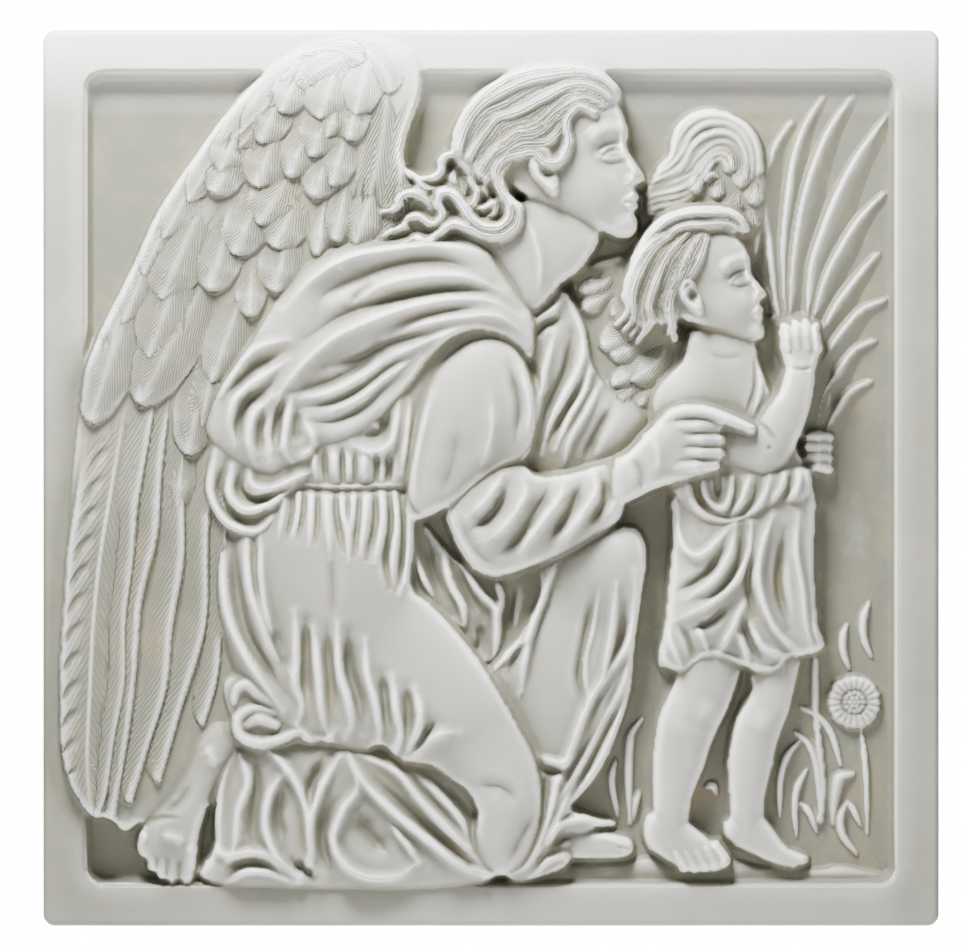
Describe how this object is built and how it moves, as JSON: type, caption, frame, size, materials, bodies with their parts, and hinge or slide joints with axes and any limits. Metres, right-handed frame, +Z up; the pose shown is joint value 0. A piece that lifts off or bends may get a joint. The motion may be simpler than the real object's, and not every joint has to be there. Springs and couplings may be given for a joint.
{
  "type": "angel wall plaque",
  "caption": "Square cast wall plaque with a plain raised frame; in its recess a winged angel kneels beside a child who holds a palm. Flat back hangs on a wall.",
  "frame": {"origin": "centre of the flat back, where it lies against the wall", "axes": "+Y out of the back into the wall, so the carving faces -Y; +Z up as it hangs; +X to the right as seen from the front"},
  "size_m": [0.444, 0.0489, 0.444],
  "materials": {
    "cast_stone": "matt cast resin and stone powder in antique ivory white, with a grey-green wash left in the hollows"
  },
  "bodies": {
    "root": {"angel_plaque": "cast_stone"}
  },
  "joints": []
}
